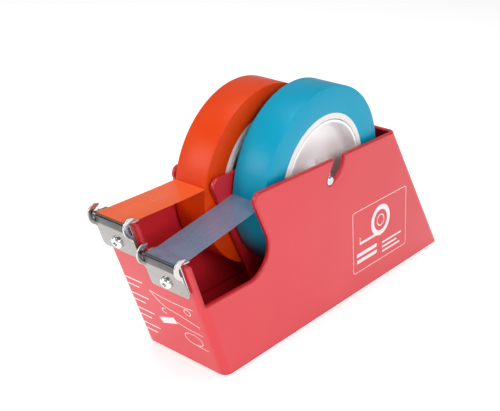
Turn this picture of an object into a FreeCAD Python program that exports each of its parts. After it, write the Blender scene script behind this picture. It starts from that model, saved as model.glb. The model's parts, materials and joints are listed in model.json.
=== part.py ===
import FreeCAD, Part
import math
import os
import Sketcher
from FreeCAD import Vector, Placement, Rotation

# Bench dispenser for two narrow tape rolls, front towards -Y, +Z up, millimetres.
# Profiles are drawn in a working frame whose zero is the front foot line of the housing;
# every sub-part is then placed by the frame shift, so that zero is the middle of the underside.

os.makedirs("parts", exist_ok=True)
doc = FreeCAD.newDocument("tape_dispenser")
sheet = doc.addObject("Spreadsheet::Sheet", "Dimensions")

dimensions = [
    # housing
    ("body_length", 250.0, "footprint length of the housing"),
    ("body_width", 65.0, "outside width"),
    ("body_height", 109.0, "height of the side walls"),
    ("wall", 3.0, "wall thickness"),
    ("front_lean", 21.3, "front wall leans out by this angle, degrees"),
    ("crown_front", 19.0, "front end of the side walls' top edge"),
    ("crown_rear", 171.0, "rear end of the side walls' top edge"),
    ("edge_lean", 28.0, "front edge of the side walls, degrees from upright"),
    ("corner_radius", 5.0, "upright corners"),
    ("rim_radius", 1.0, "rounding of the rims"),
    ("well_radius", 2.0, "rear corners of the wells"),
    ("crown_radius", 5.0, "top front corners of the walls"),
    ("sweep_right", 16.5, "sweep of the right wall into its sill"),
    ("sweep_left", 8.0, "sweep of the left wall into its sill"),
    ("floor_level", 10.5, "underside of the inner floor"),
    ("floor_thickness", 2.5, "inner floor"),
    ("sill_right", 54.5, "low front edge of the right wall"),
    ("sill_left", 90.0, "low front edge of the left wall"),
    ("tab_right", 83.8, "top of the front wall under the right cutter"),
    ("tab_left", 100.5, "top of the front wall under the left cutter"),
    # frame
    ("frame_shift", 102.22, "middle of the whole length behind the front foot line"),
    ("foot_reach", 1.2, "feet stand out below the housing by this"),
    # rolls
    ("axle_level", 95.2, "height of both axles"),
    ("axle_right", 96.2, "right axle behind the front foot line"),
    ("axle_left", 78.2, "left axle behind the front foot line"),
    ("axle_radius", 3.0, "steel axle"),
    ("slot_play", 0.1, "slot radius over axle radius"),
    ("slot_lean", 29.0, "front flank of the slots, degrees from upright"),
    ("ramp_rise", 27.0, "rear ramp of the slots, degrees from level"),
    ("mouth_back", 14.1, "rear side of a slot mouth behind the axle"),
    ("mouth_sweep", 12.0, "sweep from the ramp up to the mouth"),
    ("mouth_radius", 1.6, "rounded corners of a slot mouth"),
    ("axle_inset", 2.4, "inner end of an axle past the middle plane"),
    ("axle_reach", 33.0, "outer end of an axle from the middle plane"),
    ("ring_radius", 5.0, "retaining ring on an axle"),
    ("ring_thickness", 0.8, "retaining ring"),
    ("hub_play", 0.06, "hub bore radius over axle radius"),
    ("tape_width", 24.0, "width of tape, core and hub"),
    ("roll_inset", 3.3, "near face of a roll from the middle plane"),
    ("hub_boss", 7.0, "hub boss radius"),
    ("hub_web", 2.5, "hub web thickness"),
    ("rim_inner", 36.0, "inner radius of the hub rim"),
    ("rim_outer", 37.6, "outer radius of the hub rim"),
    ("core_inner", 38.1, "inner radius of the paper core"),
    ("core_outer", 41.8, "outer radius of the paper core"),
    ("tape_right_radius", 59.0, "outer radius of the right roll"),
    ("tape_left_radius", 58.0, "outer radius of the left roll"),
    ("strip_thickness", 0.3, "free tape, thicker than the real film"),
    ("strip_overhang", 3.1, "free tape past the tab's outer edge"),
    ("roll_gap", 0.35, "free tape starts this far off the roll"),
    # cutters
    ("sheet_steel", 1.0, "rest, blade and guard sheet"),
    ("shelf_depth", 8.0, "tape rest shelf, front to rear"),
    ("cutter_plate_width", 26.2, "width of tape rest and blade"),
    ("lip_reach", 3.5, "tooth tips in front of the tab's outer edge"),
    ("lip_thickness", 0.8, "toothed lip"),
    ("tooth_pitch", 1.54, "blade teeth"),
    ("tooth_depth", 0.7, "blade teeth"),
    ("guard_width", 29.0, "outside width of the cutter guard"),
    ("guard_drop", 22.7, "guard reaches this far down the front wall"),
    ("guard_corner", 2.0, "lower corners of the guard"),
    ("guard_top", 5.4, "top edge of the guard's face below the tab edge"),
    ("cutter_right", 14.75, "middle of the right cutter"),
    ("cutter_left", -16.2, "middle of the left cutter"),
    ("screw_drop", 15.0, "screw below the top of the tab"),
    ("screw_radius", 2.0, "cutter screw"),
    ("head_radius", 4.0, "cutter screw head"),
    ("nut_radius", 4.04, "cutter nut across corners, halved"),
    # base
    ("plate_thickness", 2.0, "base plate"),
    ("plate_recess", 0.2, "base plate above the housing's lower rim"),
    ("ballast_thickness", 8.0, "steel ballast"),
    ("boss_side", 22.0, "screw bosses from the middle plane"),
    ("boss_front", 28.0, "front screw bosses behind the foot line"),
    ("boss_rear", 216.0, "rear screw bosses behind the foot line"),
    ("boss_radius", 4.5, "screw boss"),
    ("plate_screw_radius", 1.45, "base plate screw"),
    ("foot_radius", 7.0, "rubber foot"),
    ("foot_side", 21.0, "feet from the middle plane"),
    ("foot_front", 13.5, "front feet behind the foot line"),
    ("foot_rear", 232.0, "rear feet behind the foot line"),
]
for row, (alias, number, note) in enumerate(dimensions, start=1):
    sheet.set("A%d" % row, alias)
    sheet.set("B%d" % row, str(number))
    sheet.set("C%d" % row, note)
    sheet.setAlias("B%d" % row, alias)
doc.recompute()


def size(alias):
    return float(getattr(sheet, alias))


leanAngle = math.radians(size("front_lean"))
leanRun = math.tan(leanAngle)
rearRun = (size("body_length") - size("crown_rear")) / size("body_height")
rearAngle = math.atan(rearRun)
edgeRun = math.tan(math.radians(size("edge_lean")))
overTop = size("body_height") + 4.0
floorTop = size("floor_level") + size("floor_thickness")
axleBack = {1: size("axle_right"), -1: size("axle_left")}
rollRadius = {1: size("tape_right_radius"), -1: size("tape_left_radius")}
tabTop = {1: size("tab_right"), -1: size("tab_left")}
cutterMiddle = {1: size("cutter_right"), -1: size("cutter_left")}
sideName = {1: "right", -1: "left"}
bosses = [(x, y) for x in (-size("boss_side"), size("boss_side"))
          for y in (size("boss_front"), size("boss_rear"))]
frame = Vector(0, -size("frame_shift"), size("foot_reach"))


# lines of the housing profile, as distance behind the foot line at a height
def frontOuter(z):
    return -leanRun * z


def frontInner(z):
    return size("wall") / math.cos(leanAngle) - leanRun * z


def rearInner(z):
    return size("body_length") - size("wall") / math.cos(rearAngle) - rearRun * z


def frontEdge(z):
    return size("crown_front") + edgeRun * (size("body_height") - z)


def newBody(label, position=Vector(0, 0, 0), turn=Rotation()):
    body = doc.addObject("PartDesign::Body", label)
    body.Label = label
    body.Placement = Placement(position + frame, turn)
    return body


def plane(body, role):
    return [item for item in body.Origin.OriginFeatures if item.Role == role][0]


def sketchOn(body, role, name, offset=None):
    sketch = body.newObject("Sketcher::SketchObject", name)
    sketch.AttachmentSupport = [(plane(body, role), "")]
    sketch.MapMode = "FlatFace"
    if offset is not None:
        sketch.AttachmentOffset = offset
    return sketch


def outline(sketch, points):
    # straight sides; a three-point entry is an arc given by its middle and end
    start = Vector(*points[0], 0)
    first = start
    geometry = []
    for entry in points[1:]:
        if len(entry) == 4:
            middle = Vector(entry[0], entry[1], 0)
            end = Vector(entry[2], entry[3], 0)
            geometry.append(Part.Arc(start, middle, end))
        else:
            end = Vector(entry[0], entry[1], 0)
            geometry.append(Part.LineSegment(start, end))
        start = end
    geometry.append(Part.LineSegment(start, first))
    sketch.addGeometry(geometry, False)


def ring(sketch, x, y, cell):
    index = sketch.addGeometry(Part.Circle(Vector(x, y, 0), Vector(0, 0, 1), size(cell)), False)
    constraint = sketch.addConstraint(Sketcher.Constraint("Radius", index, size(cell)))
    sketch.setExpression("Constraints[%d]" % constraint, "Dimensions." + cell)


def circle(sketch, x, y, radius):
    sketch.addGeometry(Part.Circle(Vector(x, y, 0), Vector(0, 0, 1), radius), False)


def extrude(body, kind, name, sketch, length, symmetric=False, reverse=False):
    feature = body.newObject("PartDesign::" + kind, name)
    feature.Profile = sketch
    if symmetric:
        feature.SideType = "Symmetric"
    feature.Reversed = reverse
    if isinstance(length, str):
        feature.setExpression("Length", length)
    else:
        feature.Length = length
    return feature


def revolve(body, name, sketch, axis):
    feature = body.newObject("PartDesign::Revolution", name)
    feature.Profile = sketch
    feature.ReferenceAxis = (sketch, [axis])
    feature.Angle = 360
    return feature


def roundEdges(body, name, cell, wanted):
    # fillet every edge of the body so far that the test picks out
    base = body.Tip
    picked = []
    for number, edge in enumerate(base.Shape.Edges, start=1):
        if wanted(edge.BoundBox):
            picked.append("Edge%d" % number)
    rounded = body.newObject("PartDesign::Fillet", name)
    rounded.Base = (base, picked)
    rounded.setExpression("Radius", "Dimensions." + cell)
    doc.recompute()


def near(value, *targets):
    return any(abs(value - target) < 0.02 for target in targets)


def arcBetween(before, corner, after, radius):
    # tangent arc that rounds a corner: its start point, then middle and end as one entry
    a = (Vector(*before, 0) - Vector(*corner, 0)).normalize()
    b = (Vector(*after, 0) - Vector(*corner, 0)).normalize()
    half = a.getAngle(b) / 2
    point = Vector(*corner, 0)
    start = point + a * (radius / math.tan(half))
    end = point + b * (radius / math.tan(half))
    middle = point + (a + b).normalize() * (radius / math.sin(half) - radius)
    return [(start.x, start.y), (middle.x, middle.y, end.x, end.y)]


def slotOutline(side):
    # leaning front flank, round seat, then a ramp that sweeps up to the mouth
    y = axleBack[side]
    z = size("axle_level")
    r = size("axle_radius") + size("slot_play")
    lean = math.radians(size("slot_lean"))
    ramp = math.radians(size("ramp_rise"))
    back = y + size("mouth_back")
    flank = (y - r * math.cos(lean), z + r * math.sin(lean))
    mouth = flank[0] + math.tan(lean) * (overTop - flank[1])
    seatEnd = (y + r * math.sin(ramp), z - r * math.cos(ramp))
    turn = (back, seatEnd[1] + math.tan(ramp) * (back - seatEnd[0]))
    half = math.radians(225) + (ramp - lean) / 2
    seatMiddle = (y + r * math.cos(half), z + r * math.sin(half))
    return ([(mouth, overTop), flank, seatMiddle + seatEnd]
            + arcBetween(seatEnd, turn, (back, overTop), size("mouth_sweep")) + [(back, overTop)])


def sweepOutline(sill, radius):
    # what is cut away in front of a side wall, above its low sill and behind the tab
    corner = (frontEdge(sill), sill)
    return ([(frontInner(sill), sill)]
            + arcBetween((0, sill), corner, (frontEdge(overTop), overTop), radius)
            + [(frontEdge(overTop), overTop), (frontInner(overTop), overTop)])


def buildHousing():
    body = newBody("housing")
    half = size("body_width") / 2
    inner = half - size("wall")
    rib = size("wall") / 2
    top = size("body_height")
    profile = sketchOn(body, "YZ_Plane", "shell_profile")
    outline(profile, [(0, 0), (size("body_length"), 0), (size("crown_rear"), top), (frontOuter(top), top)])
    extrude(body, "Pad", "shell", profile, "Dimensions.body_width", symmetric=True)
    doc.recompute()
    roundEdges(body, "upright_corners", "corner_radius", lambda box: box.XLength < 0.01 and box.ZLength > 50)

    # open bin in front of the partition, then one well on each side of it
    frontBin = [(frontInner(floorTop), floorTop), (frontEdge(floorTop), floorTop),
                (frontEdge(overTop), overTop), (frontInner(overTop), overTop)]
    bandCut(body, "front_bin", frontBin, -inner, inner)
    well = [(frontEdge(floorTop), floorTop), (rearInner(floorTop), floorTop),
            (rearInner(overTop), overTop), (frontEdge(overTop), overTop)]
    bandCut(body, "well_right", well, rib, inner)
    bandCut(body, "well_left", well, -inner, -rib)
    doc.recompute()
    roundEdges(body, "well_corners", "well_radius",
               lambda box: near(box.YMin, rearInner(top)) and box.XLength < 0.01 and box.ZLength > 50)

    # front ends of the side walls sweep down into low sills
    bandCut(body, "sweep_right", sweepOutline(size("sill_right"), size("sweep_right")), inner, half + 1)
    bandCut(body, "sweep_left", sweepOutline(size("sill_left"), size("sweep_left")), -half - 1, -inner)

    # front wall cut to the two cutter heights
    for side in (1, -1):
        level = tabTop[side]
        spare = [(frontOuter(overTop) - 5, level), (frontInner(level) + 1.2, level),
                 (frontInner(overTop) + 1.2, overTop), (frontOuter(overTop) - 5, overTop)]
        bandCut(body, "tab_cut_" + sideName[side], spare, *sorted((0, side * (half + 1))))

    # axle slots: each in its own side wall and in the partition
    for side in (1, -1):
        ends = sorted((-side * (rib + 1), side * (half + 1)))
        bandCut(body, "slot_" + sideName[side], slotOutline(side), *ends)
    doc.recompute()
    crowns = (size("crown_front"),)
    roundEdges(body, "crown_rounding", "crown_radius",
               lambda box: near(box.ZMin, top) and near(box.YMin, *crowns) and box.YLength < 0.01)
    roundEdges(body, "mouth_rounding", "mouth_radius",
               lambda box: near(box.ZMin, top) and 70 < box.YMin < 115 and box.YLength < 0.01)

    # underside: ballast chamber with four screw bosses
    level = size("floor_level")
    chamber = [(frontInner(0), -1), (frontInner(0), 0), (frontInner(level), level),
               (rearInner(level), level), (rearInner(0), 0), (rearInner(0), -1)]
    bandCut(body, "ballast_chamber", chamber, -inner, inner)
    plateTop = size("plate_recess") + size("plate_thickness")
    lift = Placement(Vector(0, 0, plateTop), Rotation())
    bossSketch = sketchOn(body, "XY_Plane", "boss_circles", lift)
    pilotSketch = sketchOn(body, "XY_Plane", "pilot_circles", lift)
    for x, y in bosses:
        circle(bossSketch, x, y, size("boss_radius"))
        circle(pilotSketch, x, y, size("plate_screw_radius") + 0.05)
    extrude(body, "Pad", "screw_bosses", bossSketch, level - plateTop + 0.5)
    extrude(body, "Pocket", "pilot_holes", pilotSketch, level - plateTop, reverse=True)

    # clearance holes for the cutter screws, square to the leaning front wall
    for side in (1, -1):
        z = tabTop[side] - size("screw_drop") * math.cos(leanAngle)
        place = Placement(Vector(cutterMiddle[side], z, -frontOuter(z)),
                          Rotation(Vector(1, 0, 0), size("front_lean")))
        hole = sketchOn(body, "XZ_Plane", "screw_hole_circle_" + sideName[side], place)
        circle(hole, 0, 0, size("screw_radius") + 0.15)
        extrude(body, "Pocket", "screw_hole_" + sideName[side], hole, 12.0, symmetric=True)
    doc.recompute()

    # rims: outer edges of the side and rear walls, then the inner edges and the partition
    def flat(box, *places):
        return box.ZMin > 50 and box.XLength < 0.01 and near(abs(box.XMin), *places)
    roundEdges(body, "outer_rims", "rim_radius",
               lambda box: flat(box, half) or near(box.ZMin, top) and near(box.YMax, size("crown_rear")))
    roundEdges(body, "inner_rims", "rim_radius",
               lambda box: flat(box, inner, rib)
               or near(box.ZMin, top) and box.YMin > 160 and box.YMax < size("crown_rear") - 2)
    return body


def bandCut(body, name, points, x0, x1):
    # cut a profile of the YZ plane out of the body from x0 to x1
    sketch = sketchOn(body, "YZ_Plane", name + "_profile", Placement(Vector(0, 0, x0), Rotation()))
    outline(sketch, points)
    return extrude(body, "Pocket", name, sketch, x1 - x0, reverse=True)


def buildBasePlate():
    body = newBody("base_plate", Vector(0, 0, size("plate_recess")))
    side = size("body_width") / 2 - size("wall") - 0.3
    front = frontInner(0) + 0.3
    rear = rearInner(size("plate_recess") + size("plate_thickness")) - 0.3
    sketch = sketchOn(body, "XY_Plane", "plate_outline")
    outline(sketch, [(-side, front), (side, front), (side, rear), (-side, rear)])
    extrude(body, "Pad", "plate", sketch, "Dimensions.plate_thickness")
    holes = sketchOn(body, "XY_Plane", "hole_circles")
    for x, y in bosses:
        circle(holes, x, y, size("plate_screw_radius") + 0.15)
    extrude(body, "Pocket", "holes", holes, 10.0, symmetric=True)
    doc.recompute()
    base = body.Tip
    rims = ["Edge%d" % number for number, edge in enumerate(base.Shape.Edges, start=1)
            if near(edge.BoundBox.ZMax, 0) and near(edge.BoundBox.XLength, 3.2)]
    countersinks = body.newObject("PartDesign::Chamfer", "countersinks")
    countersinks.Base = (base, rims)
    countersinks.Size = 1.4
    doc.recompute()
    return body


def buildBallast():
    body = newBody("ballast", Vector(0, 0, size("plate_recess") + size("plate_thickness")))
    sketch = sketchOn(body, "XY_Plane", "slab_outline")
    outline(sketch, [(-27, 12), (27, 12), (27, 232), (-27, 232)])
    extrude(body, "Pad", "slab", sketch, "Dimensions.ballast_thickness")
    holes = sketchOn(body, "XY_Plane", "boss_clearance")
    for x, y in bosses:
        circle(holes, x, y, size("boss_radius") + 0.75)
    extrude(body, "Pocket", "boss_holes", holes, 30.0, symmetric=True)
    doc.recompute()
    return body


def buildFoot(label, x, y):
    body = newBody(label, Vector(x, y, -size("foot_reach")))
    sketch = sketchOn(body, "XY_Plane", "foot_circle")
    ring(sketch, 0, 0, "foot_radius")
    extrude(body, "Pad", "disc", sketch, "Dimensions.foot_reach + Dimensions.plate_recess")
    doc.recompute()
    disc = body.Tip
    lower = ["Edge%d" % number for number, edge in enumerate(disc.Shape.Edges, start=1)
             if near(edge.BoundBox.ZMax, 0) and edge.BoundBox.XLength > 1]
    rim = body.newObject("PartDesign::Chamfer", "rim")
    rim.Base = (disc, lower)
    rim.Size = 0.4
    doc.recompute()
    return body


def crossRecess(body, face, width, arm, depth):
    # two crossed slots cut into a screw head that points along -Z from the given height
    lift = Placement(Vector(0, 0, face), Rotation())
    for number, (a, b) in enumerate(((width, arm), (arm, width))):
        sketch = sketchOn(body, "XY_Plane", "recess_outline_%d" % number, lift)
        outline(sketch, [(-a, -b), (a, -b), (a, b), (-a, b)])
        extrude(body, "Pocket", "recess_%d" % number, sketch, depth, reverse=True)
        doc.recompute()


def buildPlateScrew():
    # countersunk screw, head at the bottom, axis up
    body = newBody("plate_screw_master", -frame)
    r = size("plate_screw_radius")
    sketch = sketchOn(body, "XZ_Plane", "screw_profile")
    outline(sketch, [(0, 0), (2.95, 0), (r, 2.95 - r), (r, 9.0), (r - 0.5, 9.5), (0, 9.5)])
    revolve(body, "turned_screw", sketch, "V_Axis")
    doc.recompute()
    crossRecess(body, 0, 0.4, 1.6, 1.0)
    return body


def buildCutterScrew():
    # pan head towards -Z, shank up; zero is the seat of the head
    body = newBody("cutter_screw_master", -frame)
    r = size("screw_radius")
    head = size("head_radius")
    sketch = sketchOn(body, "XZ_Plane", "screw_profile")
    outline(sketch, [(0, -2.4), (1.6, -2.4), (3.55, -1.9, head, -0.6), (head, 0), (r, 0),
                     (r, 10.4), (r - 0.5, 10.9), (0, 10.9)])
    revolve(body, "turned_screw", sketch, "V_Axis")
    doc.recompute()
    crossRecess(body, -2.4, 0.55, 2.2, 1.3)
    return body


def buildCutterWasher():
    body = newBody("cutter_washer_master", -frame)
    sketch = sketchOn(body, "XY_Plane", "washer_circles")
    circle(sketch, 0, 0, 4.5)
    circle(sketch, 0, 0, size("screw_radius") + 0.15)
    extrude(body, "Pad", "washer", sketch, 0.8)
    doc.recompute()
    return body


def buildCutterNut():
    body = newBody("cutter_nut_master", -frame)
    sketch = sketchOn(body, "XY_Plane", "nut_outline")
    r = size("nut_radius")
    corners = [(r * math.cos(math.radians(60 * k)), r * math.sin(math.radians(60 * k))) for k in range(6)]
    outline(sketch, corners)
    circle(sketch, 0, 0, size("screw_radius") + 0.05)
    extrude(body, "Pad", "nut", sketch, 3.2)
    doc.recompute()
    return body


def group(label, master, placements):
    # several copies of one fastener under one name, each still its own solid
    copies = []
    for number, place in enumerate(placements, start=1):
        copy = doc.addObject("Part::Feature", "%s_%d" % (label, number))
        copy.Shape = master.Shape
        copy.Placement = place
        copies.append(copy)
    compound = doc.addObject("Part::Compound", label)
    compound.Label = label
    compound.Links = copies
    doc.recompute()
    return compound


def onWall(side, depth):
    # place on the outer face of the leaning front wall at the cutter screw, local +Z into the wall
    along = Rotation(Vector(1, 0, 0), size("front_lean"))
    corner = Vector(cutterMiddle[side], frontOuter(tabTop[side]), tabTop[side])
    offset = along.multVec(Vector(0, depth, -size("screw_drop")))
    inwards = Rotation(Vector(1, 0, 0), size("front_lean") - 90)
    return Placement(corner + offset + frame, inwards)


# Cutter parts share one local frame: zero on the outer top edge of the tab,
# local +Y into the leaning wall, local +Z up along it.
def cutterBody(label, side):
    corner = Vector(cutterMiddle[side], frontOuter(tabTop[side]), tabTop[side])
    return newBody(label, corner, Rotation(Vector(1, 0, 0), size("front_lean")))


def leaning(back, up):
    # level and plumb offsets from the tab edge, turned into the cutter's local frame
    c = math.cos(leanAngle)
    s = math.sin(leanAngle)
    return (back * c + up * s, up * c - back * s)


def screwHole(body, side):
    sketch = sketchOn(body, "XZ_Plane", "screw_hole_circle")
    circle(sketch, 0, -size("screw_drop"), size("screw_radius") + 0.15)
    extrude(body, "Pocket", "screw_hole", sketch, 20.0, symmetric=True)
    doc.recompute()


def buildTapeRest(side):
    # leg down the outside of the tab, shelf level over its top
    body = cutterBody("tape_rest_" + sideName[side], side)
    t = size("sheet_steel")
    corner = (-t, (t + math.sin(leanAngle) * t) / math.cos(leanAngle))
    run = size("shelf_depth")
    shelfTop = (corner[0] + run * math.cos(leanAngle), corner[1] - run * math.sin(leanAngle))
    under = leaning(run - t / math.cos(leanAngle) * (1 + math.sin(leanAngle)), 0)
    sketch = sketchOn(body, "YZ_Plane", "bent_profile")
    outline(sketch, [(-t, -21), corner, shelfTop, under, (0, 0), (0, -21)])
    extrude(body, "Pad", "bent_plate", sketch, "Dimensions.cutter_plate_width", symmetric=True)
    doc.recompute()
    screwHole(body, side)
    return body


def buildBlade(side):
    # flat leg behind the guard, with a level toothed lip along its top
    body = cutterBody("blade_" + sideName[side], side)
    t = size("sheet_steel")
    half = size("cutter_plate_width") / 2
    top = t - 0.05
    rise = [(top + depth * math.sin(leanAngle)) / math.cos(leanAngle) for depth in (t, 2 * t)]
    leg = sketchOn(body, "YZ_Plane", "leg_profile")
    outline(leg, [(-2 * t, -20), (-t, -20), (-t, rise[0]), (-2 * t, rise[1])])
    extrude(body, "Pad", "leg", leg, "Dimensions.cutter_plate_width", symmetric=True)
    doc.recompute()
    # the lip is drawn in a level plane through its top face
    level = Rotation(Vector(1, 0, 0), -size("front_lean"))
    lift = Placement(Vector(0, *leaning(0, top)), level)
    tip = -size("lip_reach")
    root = tip + size("tooth_depth")
    count = int(2 * half / size("tooth_pitch"))
    step = 2 * half / count
    points = [(half, -1.9), (-half, -1.9), (-half, root)]
    for k in range(count):
        points.append((-half + (k + 0.5) * step, tip))
        points.append((-half + (k + 1) * step, root))
    lip = sketchOn(body, "XY_Plane", "toothed_outline", lift)
    outline(lip, points)
    extrude(body, "Pad", "toothed_lip", lip, "Dimensions.lip_thickness", reverse=True)
    doc.recompute()
    screwHole(body, side)
    return body


def buildCutterGuard(side):
    # flat face over the blade's leg, and a curved horn standing up at each end of it
    body = cutterBody("cutter_guard_" + sideName[side], side)
    t = size("sheet_steel")
    half = size("guard_width") / 2
    low = -size("guard_drop")
    high = -size("guard_top")
    face = sketchOn(body, "YZ_Plane", "face_profile")
    outline(face, [(-3 * t, low), (-2 * t, low), (-2 * t, high), (-3 * t, high)])
    extrude(body, "Pad", "face", face, "Dimensions.guard_width", symmetric=True)
    horn = [(-2 * t, -10), (-2 * t, -6.2), (-3.3, -2.8, -2.9, 0.4), (-0.4, 1.55, 3.1, 2.4),
            (3.45, 3.0, 2.6, 3.7), (-2.2, 5.3, -5.9, 2.4), (-6.6, -1.4, -4.7, -6), (-3.5, -7.9, -3 * t, -10)]
    for name, x in (("right", half - t), ("left", -half)):
        sketch = sketchOn(body, "YZ_Plane", "horn_profile_" + name, Placement(Vector(0, 0, x), Rotation()))
        outline(sketch, horn)
        extrude(body, "Pad", "horn_" + name, sketch, "Dimensions.sheet_steel")
    doc.recompute()
    roundEdges(body, "lower_corners", "guard_corner",
               lambda box: box.XLength < 0.01 and near(box.ZMax, low) and near(abs(box.XMin), half))
    screwHole(body, side)
    return body


def onAxle(label, side):
    return newBody(label, Vector(0, axleBack[side], size("axle_level")))


def buildAxle(side):
    body = onAxle("axle_" + sideName[side], side)
    r = size("axle_radius")
    ends = sorted((-side * size("axle_inset"), side * size("axle_reach")))
    sketch = sketchOn(body, "XZ_Plane", "axle_profile")
    outline(sketch, [(ends[0], 0), (ends[0], r - 0.6), (ends[0] + 0.6, r),
                     (ends[1] - 0.6, r), (ends[1], r - 0.6), (ends[1], 0)])
    revolve(body, "turned_axle", sketch, "H_Axis")
    doc.recompute()
    return body


def buildRetainingRings(side):
    # open spring rings on either side of the hub boss
    label = "retaining_rings_" + sideName[side]
    master = newBody(label + "_master", -frame)
    sketch = sketchOn(master, "YZ_Plane", "ring_circles")
    ring(sketch, 0, 0, "ring_radius")
    circle(sketch, 0, 0, size("axle_radius") + 0.02)
    extrude(master, "Pad", "ring", sketch, "Dimensions.ring_thickness")
    gap = sketchOn(master, "YZ_Plane", "gap_outline")
    outline(gap, [(-1.2, 1), (1.2, 1), (1.2, 6), (-1.2, 6)])
    extrude(master, "Pocket", "gap", gap, 10.0, symmetric=True)
    doc.recompute()
    t = size("ring_thickness")
    starts = [2.2, 27.6] if side > 0 else [-2.2 - t, -27.6 - t]
    places = [Placement(Vector(x, axleBack[side], size("axle_level")) + frame, Rotation()) for x in starts]
    return group(label, master, places)


def rollSpan(side):
    near_, far = size("roll_inset"), size("roll_inset") + size("tape_width")
    return sorted((side * near_, side * far))


def buildHub(side):
    # rim, middle web and boss turned in one piece, with crush ribs that grip the core
    body = onAxle("hub_" + sideName[side], side)
    x0, x1 = rollSpan(side)
    middle = (x0 + x1) / 2
    web = size("hub_web") / 2
    bore = size("axle_radius") + size("hub_play")
    boss = size("hub_boss")
    rim = size("rim_inner")
    soft = 3.0
    bulge = soft * (1 - math.sqrt(0.5))
    sketch = sketchOn(body, "XZ_Plane", "hub_profile")
    outline(sketch, [
        (x0 - 0.1, bore), (x1 + 0.1, bore), (x1 + 0.1, boss), (middle + web + soft, boss),
        (middle + web + bulge, boss + bulge, middle + web, boss + soft),
        (middle + web, rim - soft),
        (middle + web + bulge, rim - bulge, middle + web + soft, rim),
        (x1, rim), (x1, size("rim_outer")), (x0, size("rim_outer")), (x0, rim),
        (middle - web - soft, rim),
        (middle - web - bulge, rim - bulge, middle - web, rim - soft),
        (middle - web, boss + soft),
        (middle - web - bulge, boss + bulge, middle - web - soft, boss), (x0 - 0.1, boss)])
    revolve(body, "turned_hub", sketch, "H_Axis")
    doc.recompute()
    ribSketch = sketchOn(body, "YZ_Plane", "rib_outline", Placement(Vector(0, 0, x0 + 1), Rotation()))
    outline(ribSketch, [(-0.8, rim + 0.8), (0.8, rim + 0.8), (0.5, size("core_inner") - 0.03),
                        (-0.5, size("core_inner") - 0.03)])
    extrude(body, "Pad", "crush_rib", ribSketch, size("tape_width") - 2)
    doc.recompute()
    pattern = body.newObject("PartDesign::PolarPattern", "crush_ribs")
    pattern.Originals = [body.Tip]
    pattern.Axis = (ribSketch, ["N_Axis"])
    pattern.Angle = 360
    pattern.Occurrences = 6
    body.Tip = pattern
    doc.recompute()
    return body


def buildWoundRing(label, side, innerCell, outerCell):
    body = onAxle(label, side)
    x0, x1 = rollSpan(side)
    sketch = sketchOn(body, "YZ_Plane", "ring_circles", Placement(Vector(0, 0, x0), Rotation()))
    ring(sketch, 0, 0, outerCell)
    ring(sketch, 0, 0, innerCell)
    extrude(body, "Pad", "wound_ring", sketch, "Dimensions.tape_width")
    doc.recompute()
    return body


def buildStrip(side):
    # free end of the tape, from just off the roll down to the shelf and over its front edge
    body = newBody("strip_" + sideName[side])
    x0, x1 = rollSpan(side)
    t = size("strip_thickness")
    shelf = tabTop[side] + size("sheet_steel")
    start = {1: 96.4, -1: 102.3}[side]
    reach = rollRadius[side] + size("roll_gap")
    begin = axleBack[side] - math.sqrt(reach ** 2 - (start + t - size("axle_level")) ** 2)
    front = frontOuter(tabTop[side])
    bend = front + 6.2
    sketch = sketchOn(body, "YZ_Plane", "strip_profile", Placement(Vector(0, 0, x0), Rotation()))
    end = front - size("strip_overhang")
    outline(sketch, [(begin, start), (bend, shelf), (end, shelf), (end, shelf + t),
                     (bend, shelf + t), (begin, start + t)])
    extrude(body, "Pad", "strip", sketch, "Dimensions.tape_width")
    doc.recompute()
    return body


nodes = [buildHousing(), buildBasePlate(), buildBallast()]
for depth, y in (("front", size("foot_front")), ("rear", size("foot_rear"))):
    for side in (-1, 1):
        nodes.append(buildFoot("foot_%s_%s" % (depth, sideName[side]), side * size("foot_side"), y))
plateScrew = buildPlateScrew()
nodes.append(group("base_screws", plateScrew,
                   [Placement(Vector(x, y, size("plate_recess")) + frame, Rotation()) for x, y in bosses]))
for side in (-1, 1):
    nodes += [buildTapeRest(side), buildBlade(side), buildCutterGuard(side)]
wall = size("wall")
fasteners = (("cutter_screws", buildCutterScrew(), -3 * size("sheet_steel")),
             ("cutter_washers", buildCutterWasher(), wall),
             ("cutter_nuts", buildCutterNut(), wall + 0.8))
for label, master, depth in fasteners:
    nodes.append(group(label, master, [onWall(side, depth) for side in (-1, 1)]))
for side in (-1, 1):
    name = sideName[side]
    nodes += [buildAxle(side), buildRetainingRings(side), buildHub(side),
              buildWoundRing("core_" + name, side, "core_inner", "core_outer"),
              buildWoundRing("tape_" + name, side, "core_outer", "tape_%s_radius" % name),
              buildStrip(side)]
doc.recompute()

faults = [item.Label for item in doc.Objects if "Invalid" in item.State or "Error" in item.State]
whole = FreeCAD.BoundBox()
for node in nodes:
    shape = node.Shape
    if shape.isNull() or not shape.isValid() or not shape.Solids:
        faults.append(node.Label)
        continue
    whole.add(shape.BoundBox)
    shape.exportStep("parts/%s.step" % node.Label)
    print("%-24s %d solid(s) %10.1f mm3" % (node.Label, len(shape.Solids), shape.Volume))
if faults:
    raise RuntimeError("not valid: " + ", ".join(faults))
print("%d nodes, overall" % len(nodes), whole)
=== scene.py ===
import json
import math

import bmesh
import bpy
from mathutils import Matrix, Vector


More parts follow.
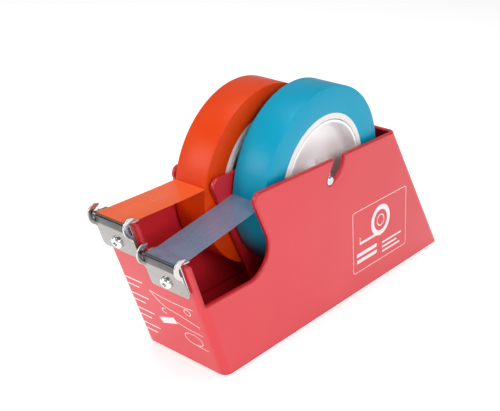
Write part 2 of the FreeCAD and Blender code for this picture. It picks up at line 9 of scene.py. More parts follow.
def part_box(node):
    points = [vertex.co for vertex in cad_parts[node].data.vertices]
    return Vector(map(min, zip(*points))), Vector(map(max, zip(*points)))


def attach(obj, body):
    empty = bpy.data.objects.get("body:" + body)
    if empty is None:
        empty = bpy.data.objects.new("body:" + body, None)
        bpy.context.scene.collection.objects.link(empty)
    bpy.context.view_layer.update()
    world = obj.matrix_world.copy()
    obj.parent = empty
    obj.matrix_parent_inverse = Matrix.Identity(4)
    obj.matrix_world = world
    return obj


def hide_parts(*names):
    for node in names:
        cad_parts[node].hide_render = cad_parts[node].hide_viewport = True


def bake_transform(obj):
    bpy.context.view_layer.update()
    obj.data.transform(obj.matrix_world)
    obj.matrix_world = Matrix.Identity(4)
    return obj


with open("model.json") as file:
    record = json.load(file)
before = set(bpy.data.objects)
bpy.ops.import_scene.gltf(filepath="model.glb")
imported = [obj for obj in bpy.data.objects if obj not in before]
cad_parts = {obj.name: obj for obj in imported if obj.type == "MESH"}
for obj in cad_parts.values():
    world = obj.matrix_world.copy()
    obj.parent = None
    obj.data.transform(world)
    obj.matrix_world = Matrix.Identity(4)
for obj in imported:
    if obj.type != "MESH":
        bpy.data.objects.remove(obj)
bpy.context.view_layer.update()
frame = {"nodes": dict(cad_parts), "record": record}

mm = 0.001
sides = ("right", "left")
housing = {"length": 250, "frontLean": math.radians(21.3)}
housingLow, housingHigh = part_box("housing")
footLine = housingHigh.y - housing["length"] * mm  # front foot line of the housing
underside = housingLow.z
print("frame loaded")


def startMaterial(name):
    material = bpy.data.materials.new(name)
    material.use_nodes = True
    nodes = material.node_tree.nodes
    shader = nodes["Principled BSDF"]
    return material, nodes, material.node_tree.links, shader


def buildGrainGroup():
    # mottling for colour and roughness, and a fine height, from one set of coordinates
    group = bpy.data.node_groups.new("surfaceGrain", "ShaderNodeTree")
    face = group.interface
    for name in ("Mottle Scale", "Grain Scale"):
        face.new_socket(name, in_out="INPUT", socket_type="NodeSocketFloat")
    face.new_socket("Stretch", in_out="INPUT", socket_type="NodeSocketVector")
    for name in ("Mottle", "Grain"):
        face.new_socket(name, in_out="OUTPUT", socket_type="NodeSocketFloat")
    nodes, links = group.nodes, group.links
    start = nodes.new("NodeGroupInput")
    end = nodes.new("NodeGroupOutput")
    place = nodes.new("ShaderNodeTexCoord")
    stretch = nodes.new("ShaderNodeVectorMath")
    stretch.operation = "MULTIPLY"
    links.new(place.outputs["Object"], stretch.inputs[0])
    links.new(start.outputs["Stretch"], stretch.inputs[1])
    for name, detail in (("Mottle", 3.0), ("Grain", 5.0)):
        noise = nodes.new("ShaderNodeTexNoise")
        noise.inputs["Detail"].default_value = detail
        links.new(stretch.outputs[0], noise.inputs["Vector"])
        links.new(start.outputs[name + " Scale"], noise.inputs["Scale"])
        links.new(noise.outputs["Fac"], end.inputs[name])
    return group


grainGroup = buildGrainGroup()


def buildRingGroup():
    # fine rings round an axis along x, for anything wound in layers
    group = bpy.data.node_groups.new("woundRings", "ShaderNodeTree")
    face = group.interface
    face.new_socket("Centre", in_out="INPUT", socket_type="NodeSocketVector")
    face.new_socket("Ring Scale", in_out="INPUT", socket_type="NodeSocketFloat")
    face.new_socket("Rings", in_out="OUTPUT", socket_type="NodeSocketFloat")
    nodes, links = group.nodes, group.links
    start = nodes.new("NodeGroupInput")
    end = nodes.new("NodeGroupOutput")
    place = nodes.new("ShaderNodeTexCoord")
    shift = nodes.new("ShaderNodeVectorMath")
    shift.operation = "SUBTRACT"
    flatten = nodes.new("ShaderNodeVectorMath")
    flatten.operation = "MULTIPLY"
    flatten.inputs[1].default_value = (0, 1, 1)
    reach = nodes.new("ShaderNodeVectorMath")
    reach.operation = "LENGTH"
    rings = nodes.new("ShaderNodeTexNoise")
    rings.noise_dimensions = "1D"
    rings.inputs["Detail"].default_value = 6.0
    links.new(place.outputs["Object"], shift.inputs[0])
    links.new(start.outputs["Centre"], shift.inputs[1])
    links.new(shift.outputs[0], flatten.inputs[0])
    links.new(flatten.outputs[0], reach.inputs[0])
    links.new(reach.outputs["Value"], rings.inputs["W"])
    links.new(start.outputs["Ring Scale"], rings.inputs["Scale"])
    links.new(rings.outputs["Fac"], end.inputs["Rings"])
    return group


ringGroup = buildRingGroup()


def addGrain(nodes, mottleScale, grainScale, stretch=(1, 1, 1)):
    node = nodes.new("ShaderNodeGroup")
    node.node_tree = grainGroup
    node.inputs["Mottle Scale"].default_value = mottleScale
    node.inputs["Grain Scale"].default_value = grainScale
    node.inputs["Stretch"].default_value = stretch
    return node


def blendColours(nodes, links, factor, first, second):
    # first is a colour or the output of another node
    mix = nodes.new("ShaderNodeMix")
    mix.data_type = "RGBA"
    links.new(factor, mix.inputs["Factor"])
    if isinstance(first, tuple):
        mix.inputs["A"].default_value = (*first, 1)
    else:
        links.new(first, mix.inputs["A"])
    mix.inputs["B"].default_value = (*second, 1)
    return mix.outputs["Result"]


def spread(nodes, links, value, low, high, fromLow=0.3, fromHigh=0.7):
    # a value that changes over the surface, brought into a range
    node = nodes.new("ShaderNodeMapRange")
    links.new(value, node.inputs["Value"])
    node.inputs["From Min"].default_value = fromLow
    node.inputs["From Max"].default_value = fromHigh
    node.inputs["To Min"].default_value = low
    node.inputs["To Max"].default_value = high
    return node.outputs["Result"]


def addBump(nodes, links, shader, height, strength, distance):
    bump = nodes.new("ShaderNodeBump")
    bump.inputs["Strength"].default_value = strength
    bump.inputs["Distance"].default_value = distance
    links.new(height, bump.inputs["Height"])
    links.new(bump.outputs["Normal"], shader.inputs["Normal"])


def solidMaterial(name, spec):
    # moulded, painted, rubber and metal surfaces share this recipe
    material, nodes, links, shader = startMaterial(name)
    grain = addGrain(nodes, spec["mottle"], spec["grain"], spec.get("stretch", (1, 1, 1)))
    tone = blendColours(nodes, links, grain.outputs["Mottle"], spec["colour"], spec["shade"])
    links.new(tone, shader.inputs["Base Color"])
    source = grain.outputs["Grain" if spec.get("brushed") else "Mottle"]
    links.new(spread(nodes, links, source, *spec["roughness"]), shader.inputs["Roughness"])
    shader.inputs["Metallic"].default_value = spec.get("metallic", 0.0)
    shader.inputs["Coat Weight"].default_value = spec.get("coat", 0.0)
    shader.inputs["Coat Roughness"].default_value = coatRoughness
    addBump(nodes, links, shader, grain.outputs["Grain"], spec["bump"], grainDepth)
    return material


coatRoughness = 0.12
grainDepth = 0.1 * mm

finishes = {
    "housing": {"colour": (0.66, 0.022, 0.036), "shade": (0.61, 0.018, 0.030), "mottle": 22, "grain": 900,
                "roughness": (0.30, 0.38), "bump": 0.05, "coat": 0.10},
    "base_plate": {"colour": (0.05, 0.05, 0.055), "shade": (0.035, 0.035, 0.04), "mottle": 40, "grain": 1500,
                   "roughness": (0.42, 0.55), "bump": 0.15},
    "ballast": {"colour": (0.16, 0.155, 0.15), "shade": (0.10, 0.09, 0.085), "mottle": 90, "grain": 700,
                "roughness": (0.55, 0.8), "bump": 0.5, "metallic": 0.8},
    "foot": {"colour": (0.022, 0.022, 0.022), "shade": (0.032, 0.032, 0.032), "mottle": 120, "grain": 2500,
             "roughness": (0.65, 0.8), "bump": 0.3},
    "base_screw": {"colour": (0.60, 0.60, 0.62), "shade": (0.50, 0.50, 0.51), "mottle": 300, "grain": 2500,
                   "roughness": (0.22, 0.34), "bump": 0.08, "metallic": 1.0},
    "tape_rest": {"colour": (0.74, 0.74, 0.73), "shade": (0.66, 0.66, 0.65), "mottle": 150, "grain": 1600,
                  "roughness": (0.16, 0.24), "bump": 0.05, "metallic": 1.0, "stretch": (0.1, 1, 1)},
    # dark steel; its darkness is partly painted shade for the shadowed band under the lip
    "blade": {"colour": (0.13, 0.13, 0.135), "shade": (0.09, 0.09, 0.095), "mottle": 200, "grain": 3000,
              "roughness": (0.24, 0.36), "bump": 0.12, "metallic": 1.0, "stretch": (1, 0.08, 0.08),
              "brushed": True},
    "cutter_guard": {"colour": (0.40, 0.395, 0.375), "shade": (0.33, 0.325, 0.31), "mottle": 120, "grain": 2200,
                     "roughness": (0.20, 0.30), "bump": 0.05, "metallic": 1.0, "stretch": (0.12, 1, 1),
                     "brushed": True},
    # painted highlight: a lighter copy of the guard's steel for the horns, so their bent rims look brightly lit
    "cutter_horn_highlight": {"colour": (0.66, 0.65, 0.63), "shade": (0.56, 0.55, 0.53), "mottle": 120, "grain": 2200,
                    "roughness": (0.18, 0.26), "bump": 0.04, "metallic": 1.0},
    "cutter_screw": {"colour": (0.78, 0.78, 0.78), "shade": (0.68, 0.68, 0.69), "mottle": 300, "grain": 2500,
                     "roughness": (0.10, 0.18), "bump": 0.05, "metallic": 1.0},
    "cutter_washer": {"colour": (0.62, 0.62, 0.63), "shade": (0.54, 0.54, 0.55), "mottle": 300, "grain": 2500,
                      "roughness": (0.2, 0.3), "bump": 0.08, "metallic": 1.0},
    "cutter_nut": {"colour": (0.60, 0.60, 0.61), "shade": (0.50, 0.50, 0.52), "mottle": 300, "grain": 2500,
                   "roughness": (0.2, 0.32), "bump": 0.08, "metallic": 1.0},
    "axle": {"colour": (0.70, 0.70, 0.71), "shade": (0.58, 0.58, 0.60), "mottle": 250, "grain": 2600,
             "roughness": (0.12, 0.24), "bump": 0.06, "metallic": 1.0, "stretch": (6, 1, 1)},
    "retaining_ring": {"colour": (0.16, 0.16, 0.17), "shade": (0.10, 0.10, 0.11), "mottle": 300, "grain": 2600,
                       "roughness": (0.3, 0.42), "bump": 0.1, "metallic": 1.0},
    "hub": {"colour": (0.92, 0.92, 0.93), "shade": (0.87, 0.87, 0.88), "mottle": 45, "grain": 1200,
            "roughness": (0.26, 0.36), "bump": 0.08},
    "print": {"colour": (0.92, 0.80, 0.81), "shade": (0.86, 0.70, 0.72), "mottle": 260, "grain": 2400,
              "roughness": (0.42, 0.5), "bump": 0.05},
}
materials = {name: solidMaterial(name, spec) for name, spec in finishes.items()}


def paintEdgeShade(material, spec):
    # painted shade: the red is darkened where the moulding turns a corner, standing in for the darker
    # reflection the glossy rims show
    nodes, links = material.node_tree.nodes, material.node_tree.links
    shader = nodes["Principled BSDF"]
    plain = shader.inputs["Base Color"].links[0].from_socket
    rounded = nodes.new("ShaderNodeBevel")
    rounded.samples = spec["samples"]
    rounded.inputs["Radius"].default_value = spec["reach"]
    surface = nodes.new("ShaderNodeNewGeometry")
    turn = nodes.new("ShaderNodeVectorMath")
    turn.operation = "DOT_PRODUCT"
    links.new(rounded.outputs["Normal"], turn.inputs[0])
    links.new(surface.outputs["Normal"], turn.inputs[1])
    edgeShadeMask = spread(nodes, links, turn.outputs["Value"], spec["strength"], 0.0, *spec["turn"])
    links.new(blendColours(nodes, links, edgeShadeMask, plain, spec["colour"]), shader.inputs["Base Color"])


# painted shade on the housing's rounded rims
paintedEdgeShade = {"colour": (0.36, 0.003, 0.009), "reach": 2.6 * mm, "samples": 6, "strength": 0.95,
            "turn": (0.93, 0.999)}
paintEdgeShade(materials["housing"], paintedEdgeShade)


def windingMaterial(name, centre, spec):
    # layers wound round an axis: rings on the flat sides, faint bands on the running surface
    material, nodes, links, shader = startMaterial(name)
    rings = nodes.new("ShaderNodeGroup")
    rings.node_tree = ringGroup
    rings.inputs["Centre"].default_value = centre
    rings.inputs["Ring Scale"].default_value = spec["ringScale"]
    grain = addGrain(nodes, spec["mottle"], spec["grain"])
    layers = spread(nodes, links, rings.outputs["Rings"], 0, 1)
    tone = blendColours(nodes, links, layers, spec["colour"], spec["shade"])
    haze = spread(nodes, links, grain.outputs["Mottle"], 0.0, spec["haze"], *hazeRange)
    links.new(blendColours(nodes, links, haze, tone, spec["light"]), shader.inputs["Base Color"])
    links.new(spread(nodes, links, grain.outputs["Mottle"], *spec["roughness"]), shader.inputs["Roughness"])
    shader.inputs["Specular IOR Level"].default_value = spec["specular"]
    addBump(nodes, links, shader, rings.outputs["Rings"], spec["bump"], ringDepth)
    return material


hazeRange = (0.35, 0.75)
ringDepth = 0.08 * mm
windings = {
    "tape_right": {"colour": (0.0, 0.32, 0.50), "shade": (0.0, 0.28, 0.44), "light": (0.001, 0.39, 0.59),
                   "mottle": 28, "grain": 900, "haze": 0.35, "ringScale": 2600, "roughness": (0.28, 0.38),
                   "specular": 0.2, "bump": 0.22},
    "tape_left": {"colour": (0.76, 0.056, 0.004), "shade": (0.68, 0.046, 0.003), "light": (0.80, 0.09, 0.01),
                  "mottle": 28, "grain": 900, "haze": 0.35, "ringScale": 2600, "roughness": (0.28, 0.38),
                  "specular": 0.2, "bump": 0.22},
    "core": {"colour": (0.80, 0.80, 0.79), "shade": (0.66, 0.66, 0.66), "light": (0.86, 0.86, 0.85),
             "mottle": 200, "grain": 1500, "haze": 0.5, "ringScale": 1500, "roughness": (0.7, 0.85),
             "specular": 0.2, "bump": 0.4},
}


def filmMaterial(name, spec):
    # a single see-through layer, slightly milky, with drawn-out streaks along its length
    material, nodes, links, shader = startMaterial(name)
    grain = addGrain(nodes, spec["mottle"], spec["grain"], spec["stretch"])
    tone = blendColours(nodes, links, grain.outputs["Mottle"], spec["colour"], spec["light"])
    links.new(tone, shader.inputs["Base Color"])
    links.new(spread(nodes, links, grain.outputs["Grain"], *spec["roughness"]), shader.inputs["Roughness"])
    links.new(spread(nodes, links, grain.outputs["Mottle"], *spec["alpha"]), shader.inputs["Alpha"])
    addBump(nodes, links, shader, grain.outputs["Mottle"], spec["bump"], filmDepth)
    return material


filmDepth = 0.05 * mm
films = {
    "strip_right": {"colour": (0.16, 0.25, 0.38), "light": (0.21, 0.28, 0.41), "mottle": 60, "grain": 500,
                    "roughness": (0.16, 0.26), "alpha": (0.50, 0.60), "stretch": (1, 0.12, 0.12), "bump": 0.1},
    "strip_left": {"colour": (0.90, 0.11, 0.02), "light": (0.94, 0.16, 0.045), "mottle": 60, "grain": 500,
                   "roughness": (0.18, 0.28), "alpha": (0.86, 0.93), "stretch": (1, 0.12, 0.12), "bump": 0.1},
}
materials.update({name: filmMaterial(name, spec) for name, spec in films.items()})


def middleOf(node):
    low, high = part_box(node)
    return (low + high) / 2


for side in sides:
    centre = middleOf("axle_" + side)
    materials["tape_" + side] = windingMaterial("tape_" + side, centre, windings["tape_" + side])
    materials["core_" + side] = windingMaterial("core_" + side, centre, windings["core"])

slotOf = {part["node"]: part["material_slot"] for part in frame["record"]["subparts"]}
for node, piece in frame["nodes"].items():
    # each core has rings round its own centre, the other finishes are shared
    finish = node if slotOf[node] == "core" else slotOf[node]
    piece.data.materials.clear()
    piece.data.materials.append(materials[finish])
print("materials made")


def addPiece(name, bm, finish, body, sharpAngle=35):
    # body is None for a piece that is attached to no body
    mesh = bpy.data.meshes.new(name)
    bm.to_mesh(mesh)
    bm.free()
    mesh.materials.append(finish)
    mesh.polygons.foreach_set("use_smooth", [True] * len(mesh.polygons))
    mesh.set_sharp_from_angle(angle=math.radians(sharpAngle))
    piece = bpy.data.objects.new(name, mesh)
    bpy.context.scene.collection.objects.link(piece)
    if body:
        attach(piece, body)
    return piece


def spinProfile(points, centre, spec):
    # a closed profile of (x, radius) points, its corners rounded, turned about the roll's axis
    bm = bmesh.new()
    verts = [bm.verts.new((x, centre.y, centre.z + radius)) for x, radius in points]
    for a, b in zip(verts, verts[1:] + verts[:1]):
        bm.edges.new((a, b))
    bmesh.ops.bevel(bm, geom=bm.verts[:] + bm.edges[:], offset=spec["edge"], segments=spec["edgeSteps"],
                    profile=0.5, affect="VERTICES", material=-1)
    bmesh.ops.spin(bm, geom=bm.verts[:] + bm.edges[:], cent=(0, centre.y, centre.z), axis=(1, 0, 0),
                   angle=2 * math.pi, steps=spec["steps"], use_merge=True, use_duplicate=False)
    bmesh.ops.remove_doubles(bm, verts=bm.verts[:], dist=1e-7)
    bmesh.ops.recalc_face_normals(bm, faces=bm.faces[:])
    return bm


def hardEdges(bm, angle=40):
    return [edge for edge in bm.edges
            if len(edge.link_faces) == 2 and edge.calc_face_angle(0) > math.radians(angle)]


def softenNode(node, name, width):
    # a CAD part with its hard edges broken, so they catch the light
    bm = bmesh.new()
    bm.from_mesh(frame["nodes"][node].data)
    bmesh.ops.remove_doubles(bm, verts=bm.verts[:], dist=2e-6)
    bmesh.ops.dissolve_limit(bm, angle_limit=math.radians(1), verts=bm.verts[:], edges=bm.edges[:])
    bmesh.ops.bevel(bm, geom=hardEdges(bm), offset=width, segments=2, profile=0.5, affect="EDGES",
                    material=-1, clamp_overlap=True)
    bmesh.ops.triangulate(bm, faces=[face for face in bm.faces if len(face.verts) > 4])
    bmesh.ops.recalc_face_normals(bm, faces=bm.faces[:])
    piece = addPiece(name, bm, materials[slotOf[node]], "dispenser")
    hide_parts(node)


def radiusOf(node):
    low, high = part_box(node)
    return (high.z - low.z) / 2


roll = {"steps": 192, "edge": 0.35 * mm, "edgeSteps": 3}
for side in sides:
    low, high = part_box("tape_" + side)
    inner, outer = radiusOf("core_" + side), radiusOf("tape_" + side)
    profile = [(low.x, inner), (high.x, inner), (high.x, outer), (low.x, outer)]
    wound = addPiece("wound_" + side, spinProfile(profile, middleOf("axle_" + side), roll),
                     materials["tape_" + side], "roll_" + side)
    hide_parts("tape_" + side)
print("rolls wound")


# sag and cup bow the free span a little; droop lowers the end past the lip
strip = {"thickness": 0.1 * mm, "rows": 72, "spanRows": 48, "columns": 12, "sag": 0.5 * mm, "droop": 0.27 * mm,
         "droopFrom": 0.8, "cup": 0.25 * mm, "cupRows": 0.66, "liftOff": 0.02 * mm, "rollGap": 0.08 * mm,
         "startDrop": 0.1 * mm, "bendInset": 0.4 * mm}


def stripPath(side):
    # from the roll down to the rest, flat over it, and a short droop past the lip
    low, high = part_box("strip_" + side)
    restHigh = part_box("tape_rest_" + side)[1]
    shelf = restHigh.z + strip["thickness"] / 2 + strip["liftOff"]
    centre = middleOf("axle_" + side)
    reach = radiusOf("tape_" + side) + strip["rollGap"]
    startZ = high.z - strip["startDrop"]
    start = Vector((0, centre.y - math.sqrt(reach ** 2 - (startZ - centre.z) ** 2), startZ))
    bend = Vector((0, restHigh.y - strip["bendInset"], shelf))
    end = Vector((0, low.y, shelf))
    points = []
    for k in range(strip["spanRows"] + 1):
        t = k / strip["spanRows"]
        point = start.lerp(bend, t)
        point.z -= strip["sag"] * 4 * t * (1 - t) * (1 - t)
        points.append(point)
    restRows = strip["rows"] - strip["spanRows"]
    for k in range(1, restRows + 1):
        t = k / restRows
        point = bend.lerp(end, t)
        point.z -= strip["droop"] * max(0.0, (t - strip["droopFrom"]) / (1 - strip["droopFrom"])) ** 2
        points.append(point)
    return points


for side in sides:
    low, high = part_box("strip_" + side)
    points = stripPath(side)
    lastRow = len(points) - 1
    bm = bmesh.new()
    bmesh.ops.create_grid(bm, x_segments=strip["columns"], y_segments=lastRow, size=0.5)
    for vert in bm.verts:
        row = round((vert.co.y + 0.5) * lastRow)
        across = vert.co.x + 0.5
        along = math.sin(math.pi * min(1, row / (len(points) * strip["cupRows"])))
        cup = strip["cup"] * (1 - (2 * across - 1) ** 2) * along
        vert.co = (low.x + (high.x - low.x) * across, points[row].y, points[row].z + cup)
    bmesh.ops.solidify(bm, geom=bm.faces[:], thickness=strip["thickness"])
    bmesh.ops.recalc_face_normals(bm, faces=bm.faces[:])
    film = addPiece("film_" + side, bm, materials["strip_" + side], None, 60)
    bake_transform(film)
    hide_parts("strip_" + side)
print("strips laid")


brokenEdges = {"rests": 0.25 * mm, "screws": 0.12 * mm, "nuts": 0.2 * mm}
for side in sides:
    softenNode("tape_rest_" + side, "rest_" + side, brokenEdges["rests"])
softenNode("cutter_screws", "guard_screws", brokenEdges["screws"])
softenNode("cutter_nuts", "guard_nuts", brokenEdges["nuts"])
print("metal edges broken")


# millimetres in a frame that leans with the front wall: y runs into the wall and z up along it
guard = {"width": 29.0, "corner": 2.2, "hornThickness": 1.0, "edge": 0.3 * mm, "hornEdge": 0.38 * mm,
         "face": (-3.0, -2.0, -22.7, -5.4),  # near, far, low, high
         # painted shade: the web is a dark plate behind the face's top edge, filling the shadowed band under
         # the lip
         "web": (-2.95, -2.35, -9.0, 0.1),
         # upright outline of a horn, beginning at its foot; four numbers are an arc's middle and end
         "outline": [(-2, -10), (-2, -6.2), (-3.3, -2.8, -2.9, 0.4), (-0.4, 1.55, 3.1, 2.4),
                     (3.45, 3.0, 2.6, 3.7), (-2.2, 5.3, -5.9, 2.4), (-6.6, -1.4, -4.7, -6),
                     (-3.5, -7.9, -3, -10)],
         # the wall's outer top edge under each cutter, before the foot line and above the underside
         "right": (32.67, 83.8), "left": (39.18, 100.5)}


def throughThree(a, b, c, steps=7):
    # points of the arc from a by way of b to c, without a
    ab, bc = b - a, c - b
    turn = 2 * (ab.x * bc.y - ab.y * bc.x)
    if abs(turn) < 1e-9:
        return [c]
    aa, bb, cc = a.length_squared, b.length_squared, c.length_squared
    centre = Vector((aa * (b.y - c.y) + bb * (c.y - a.y) + cc * (a.y - b.y),
                     aa * (c.x - b.x) + bb * (a.x - c.x) + cc * (b.x - a.x))) / turn
    first, last = ((p - centre) for p in (a, c))
    sweep = math.atan2(first.x * last.y - first.y * last.x, first.dot(last))
    if (sweep > 0) != (turn > 0):
        sweep += math.copysign(2 * math.pi, turn)
    return [centre + Matrix.Rotation(sweep * k / steps, 2) @ first for k in range(1, steps + 1)]


def traced(outline):
    points = []
    for entry in outline:
        end = Vector(entry[-2:])
        points += throughThree(points[-1], Vector(entry[:2]), end) if len(entry) == 4 else [end]
    return points


def roundEdges(bm, edges, width, segments=3):
    bmesh.ops.bevel(bm, geom=edges, offset=width, segments=segments, profile=0.5, affect="EDGES",
                    material=-1, clamp_overlap=True)


def hornPlate(points, low, high):
    # an outline in the (y, z) plane thickened along x, with rounded edges
    bm = bmesh.new()
    face = bm.faces.new([bm.verts.new((low, point.x, point.y)) for point in points])
    pushed = bmesh.ops.extrude_face_region(bm, geom=[face])["geom"]
    moved = [item for item in pushed if isinstance(item, bmesh.types.BMVert)]
    bmesh.ops.translate(bm, vec=(high - low, 0, 0), verts=moved)
    bmesh.ops.recalc_face_normals(bm, faces=bm.faces[:])
    rims = [edge for edge in bm.edges if abs(edge.verts[0].co.x - edge.verts[1].co.x) < 1e-6]
    roundEdges(bm, rims, guard["hornEdge"])
    return bm


def merged(parts, place=Matrix.Identity(4)):
    bm = bmesh.new()
    for part in parts:
        bmesh.ops.transform(part, matrix=place, verts=part.verts[:])
        carrier = bpy.data.meshes.new("part")
        part.to_mesh(carrier)
        part.free()
        bm.from_mesh(carrier)
        bpy.data.meshes.remove(carrier)
    return bm


def sheetPlate(bounds, corner=0.0):
    near, far, low, high = (value * mm for value in bounds)
    bm = bmesh.new()
    bmesh.ops.create_cube(bm, size=1)
    bmesh.ops.scale(bm, vec=(guard["width"] * mm, far - near, high - low), verts=bm.verts[:])
    bmesh.ops.translate(bm, vec=(0, (near + far) / 2, (low + high) / 2), verts=bm.verts[:])
    if corner:
        lower = [edge for edge in bm.edges if all(vert.co.z < low + 1e-6 for vert in edge.verts)
                 and abs(edge.verts[0].co.y - edge.verts[1].co.y) > 1e-6]
        roundEdges(bm, lower, corner * mm, 8)
    roundEdges(bm, hardEdges(bm), guard["edge"])
    return bm


horn = [point * mm for point in traced(guard["outline"])]
halfWidth = guard["width"] / 2 * mm
hornInside = halfWidth - guard["hornThickness"] * mm
for side in sides:
    forward, rise = guard[side]
    origin = Vector((middleOf("cutter_guard_" + side).x, footLine - forward * mm, underside + rise * mm))
    place = Matrix.Translation(origin) @ Matrix.Rotation(housing["frontLean"], 4, "X")
    parts = {"guard_": ([sheetPlate(guard["face"], guard["corner"])], "cutter_guard", "cutter_guard"),
             # the horns take the lighter painted-highlight copy of the guard steel
             "guard_horns_": ([hornPlate(horn, hornInside, halfWidth),
                               hornPlate(horn, -halfWidth, -hornInside)], "cutter_horn_highlight", "cutter_guard"),
             # the web carries the dark blade finish as painted shade
             "guard_shade_web_": ([sheetPlate(guard["web"])], "blade", "blade")}
    pieces = {name: addPiece(name + side, merged(plates, place), materials[finish], "dispenser", 50)
              for name, (plates, finish, slotName) in parts.items()}
    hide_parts("cutter_guard_" + side)
print("guards shaped")


def onRightWall(y, z):
    return Vector((housingHigh.x, footLine + y * mm, underside + z * mm))


rightNormal = Vector((1, 0, 0))
frontNormal = Vector((0, -math.cos(housing["frontLean"]), -math.sin(housing["frontLean"])))
upFront = Vector((0, -math.sin(housing["frontLean"]), math.cos(housing["frontLean"])))


def onFrontWall(x, rise):
    # rise runs up the leaning front wall from the foot line
    return Vector((x * mm, footLine, underside)) + upFront * (rise * mm)


def strokeMesh(name, paths, width, normal, thickness):
    # flat bands of ink: round strokes pressed nearly flat against the wall
    curve = bpy.data.curves.new(name, "CURVE")
    curve.dimensions = "3D"
    curve.bevel_depth = width / 2
    curve.bevel_resolution = 1
    curve.use_fill_caps = True
    for points, closed in paths:
        spline = curve.splines.new("POLY")
        spline.points.add(len(points) - 1)
        for target, point in zip(spline.points, points):
            target.co = (*point, 1)
        spline.use_cyclic_u = closed
    carrier = bpy.data.objects.new(name, curve)
    mesh = bpy.data.meshes.new_from_object(carrier)
    bpy.data.objects.remove(carrier)
    bm = bmesh.new()
    bm.from_mesh(mesh)
    level = paths[0][0][0].dot(normal)
    for vert in bm.verts:
        off = vert.co.dot(normal) - level
        vert.co -= normal * (off * (1 - thickness / (width / 2)))
    bmesh.ops.recalc_face_normals(bm, faces=bm.faces[:])
    return bm


def circlePath(place, a, b, radius, steps=48, stretch=1.0, start=0.0, sweep=360.0):
    full = sweep >= 360
    count = steps if full else steps + 1
    return [place(a + stretch * radius * math.cos(math.radians(start + sweep * k / steps)),
                  b + radius * math.sin(math.radians(start + sweep * k / steps))) for k in range(count)]


def printSign(name, parts, normal, thickness=0.03 * mm):
    # parts are pairs of paths and the width of their stroke; a path is its points and whether it is closed
    strokes = [strokeMesh("%s_%d" % (name, number), paths, width * mm, normal, thickness)
               for number, (paths, width) in enumerate(parts)]
    return addPiece(name, merged(strokes), materials["print"], "dispenser")


# millimetres on the right wall, back from the foot line and up from the underside
sideSign = {"left": 128.2, "right": 195.3, "low": 15.4, "high": 63.0, "corner": 2.0, "frame": 0.5,
            "slant": 0.148, "level": 39,  # the sign leans forward above its level
            "roll": (162, 47), "radius": 10.0, "rollStroke": 4.2, "core": 0.42, "coreStroke": 0.9,
            "tail": (0.2, 2.6, 0.98), "tailStroke": 2.2,  # start, end and drop, in roll radii
            "teeth": 5, "toothDepth": 1.0, "toothPitch": 1.2, "toothStroke": 0.7,
            "bars": [(132.5, 157, 23.5), (132.5, 157, 28.6)], "barStroke": 3.2,
            "smallBars": [(164, 187, 20.5), (164, 183, 24.2), (164, 189, 27.9)], "smallBarStroke": 1.6}


def onSign(y, z):
    return onRightWall(y - sideSign["slant"] * (z - sideSign["level"]), z)


def roundedFrame(spec, steps=6):
    r = spec["corner"]
    near, far, low, high = spec["left"] + r, spec["right"] - r, spec["low"] + r, spec["high"] - r
    corners = ((far, high, 0), (near, high, 90), (near, low, 180), (far, low, 270))
    return [onSign(y + r * math.cos(math.radians(turn + 90 * k / steps)),
                   z + r * math.sin(math.radians(turn + 90 * k / steps)))
            for y, z, turn in corners for k in range(steps + 1)]


def sideSignParts(spec):
    rollY, rollZ = spec["roll"]
    radius = spec["radius"]
    tailStart, tailEnd, drop = (value * radius for value in spec["tail"])
    foot = rollZ - drop
    tail = [onSign(rollY - tailStart, foot), onSign(rollY - tailEnd, foot)]
    teeth = [onSign(rollY - tailEnd + spec["toothDepth"] * (k % 2), foot + spec["toothPitch"] * k)
             for k in range(spec["teeth"])]
    bars, smallBars = ([([onSign(start, z), onSign(end, z)], False) for start, end, z in spec[key]]
                       for key in ("bars", "smallBars"))
    return [([(roundedFrame(spec), True)], spec["frame"]),
            ([(circlePath(onSign, rollY, rollZ, radius), True)], spec["rollStroke"]),
            ([(circlePath(onSign, rollY, rollZ, radius * spec["core"]), True)], spec["coreStroke"]),
            ([(tail, False)], spec["tailStroke"]),
            ([(teeth, False)], spec["toothStroke"]),
            (bars, spec["barStroke"]),
            (smallBars, spec["smallBarStroke"])]


printSign("side_sign", sideSignParts(sideSign), rightNormal)

# millimetres on the front wall: across from the middle and up from the foot line
frontSign = {
    "barRises": (57.6, 44.0, 30.8, 17.8), "longBar": (-30.0, -14.5), "shortBar": (-28.5, -19.0),
    "barStep": 5.6, "barStroke": 1.1, "lineStroke": 0.55,
    "lines": [[(-10.0, 54.0), (-2.0, 52.6), (8.0, 52.0), (16.0, 52.2), (23.5, 53.0)],
              [(-10.0, 54.0), (-4.5, 47.0), (0.0, 44.0), (9.0, 42.6), (24.5, 38.8)],
              [(5.0, 34.0), (12.0, 32.4), (24.5, 31.6)],
              [(14.0, 19.3), (24.5, 18.4)]],
    "loop": (18.0, 48.6, 2.4), "hook": (-2.6, 40.2, 2.0), "hookArc": (60, 240),
    "oval": (15.0, 24.0, 4.6), "ovalStretch": 1.5,
    "patch": [(-9.6, 28.6), (4.0, 34.6)], "patchStroke": 5.0,
}


def frontSignParts(spec):
    bars = []
    for rise in spec["barRises"]:
        for (start, end), level in ((spec["longBar"], rise), (spec["shortBar"], rise - spec["barStep"])):
            bars.append(([onFrontWall(start, level), onFrontWall(end, level)], False))
    first, second, third, fourth = (([onFrontWall(*point) for point in line], False) for line in spec["lines"])
    hookStart, hookSweep = spec["hookArc"]
    drawing = [first, second,
               (circlePath(onFrontWall, *spec["loop"]), True),
               (circlePath(onFrontWall, *spec["hook"], start=hookStart, sweep=hookSweep), False),
               third,
               (circlePath(onFrontWall, *spec["oval"], stretch=spec["ovalStretch"]), True),
               fourth]
    patch = [([onFrontWall(*point) for point in spec["patch"]], False)]
    return [(bars, spec["barStroke"]), (drawing, spec["lineStroke"]), (patch, spec["patchStroke"])]


printSign("front_sign", frontSignParts(frontSign), frontNormal)
print("signs printed")


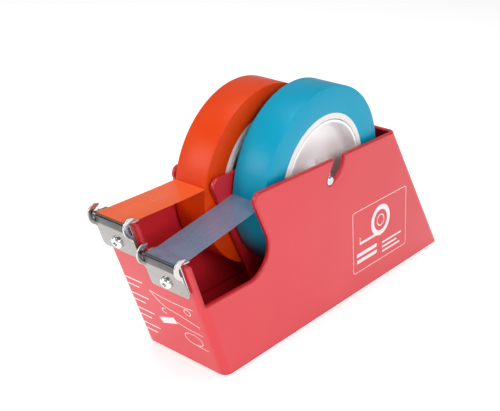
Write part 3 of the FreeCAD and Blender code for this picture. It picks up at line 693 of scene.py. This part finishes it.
studio = {"floor": 3.0, "floorColour": (0.93, 0.93, 0.93), "floorRoughness": 0.6, "glow": 0.45, "world": 0.36,
          # place, target, width of the square and power of each lamp
          "lamps": {"overhead": ((-0.1, -0.1, 1.3), (0, 0, 0.05), 0.8, 6.5),
                    "rightFront": ((1.1, -0.6, 0.75), (0, 0, 0.06), 0.6, 9),
                    "leftFront": ((-0.7, -1.1, 0.5), (0, 0, 0.06), 0.5, 4)}}
bm = bmesh.new()
bmesh.ops.create_grid(bm, x_segments=1, y_segments=1, size=studio["floor"])
floorMesh = bpy.data.meshes.new("floor")
bm.to_mesh(floorMesh)
bm.free()
floor = bpy.data.objects.new("floor", floorMesh)
bpy.context.scene.collection.objects.link(floor)
floorMaterial, _, _, floorShader = startMaterial("floor")
floorShader.inputs["Base Color"].default_value = (*studio["floorColour"], 1)
floorShader.inputs["Roughness"].default_value = studio["floorRoughness"]
floorShader.inputs["Emission Color"].default_value = (1, 1, 1, 1)
floorShader.inputs["Emission Strength"].default_value = studio["glow"]
floorMesh.materials.append(floorMaterial)

world = bpy.data.worlds.new("studio")
world.use_nodes = True
world.node_tree.nodes["Background"].inputs["Color"].default_value = (1, 1, 1, 1)
world.node_tree.nodes["Background"].inputs["Strength"].default_value = studio["world"]
bpy.context.scene.world = world


def areaLight(name, place, target, size, power):
    data = bpy.data.lights.new(name, "AREA")
    data.shape = "RECTANGLE"
    data.size = data.size_y = size
    data.energy = power
    light = bpy.data.objects.new(name, data)
    bpy.context.scene.collection.objects.link(light)
    light.location = place
    light.rotation_mode = "QUATERNION"
    light.rotation_quaternion = (Vector(target) - Vector(place)).to_track_quat("-Z", "Y")


for name, (place, target, size, power) in studio["lamps"].items():
    areaLight(name, place, target, size, power)

view = {"azimuth": 39.06, "elevation": 23.82, "roll": 1.49, "lens": 67.1, "sensor": 36, "clipStart": 0.01,
        "place": (330.2, -348.9, 312.6)}  # mm from the housing's front foot line
azimuth, elevation, rollAngle = (math.radians(view[key]) for key in ("azimuth", "elevation", "roll"))
back = Vector((math.sin(azimuth) * math.cos(elevation), -math.cos(azimuth) * math.cos(elevation),
               math.sin(elevation)))
right = (-back).cross(Vector((0, 0, 1))).normalized()
up = right.cross(-back)
camRight = math.cos(rollAngle) * right + math.sin(rollAngle) * up
camUp = -math.sin(rollAngle) * right + math.cos(rollAngle) * up
camera = bpy.data.objects.new("camera", bpy.data.cameras.new("camera"))
bpy.context.scene.collection.objects.link(camera)
camera.data.sensor_width = view["sensor"]
camera.data.lens = view["lens"]
camera.data.clip_start = view["clipStart"]
x, y, z = (value * mm for value in view["place"])
camera.matrix_world = (Matrix.Translation((x, y + footLine, z + underside))
                       @ Matrix((camRight, camUp, back)).transposed().to_4x4())
bpy.context.scene.camera = camera
bpy.context.scene.view_settings.view_transform = "Standard"
print("studio set")
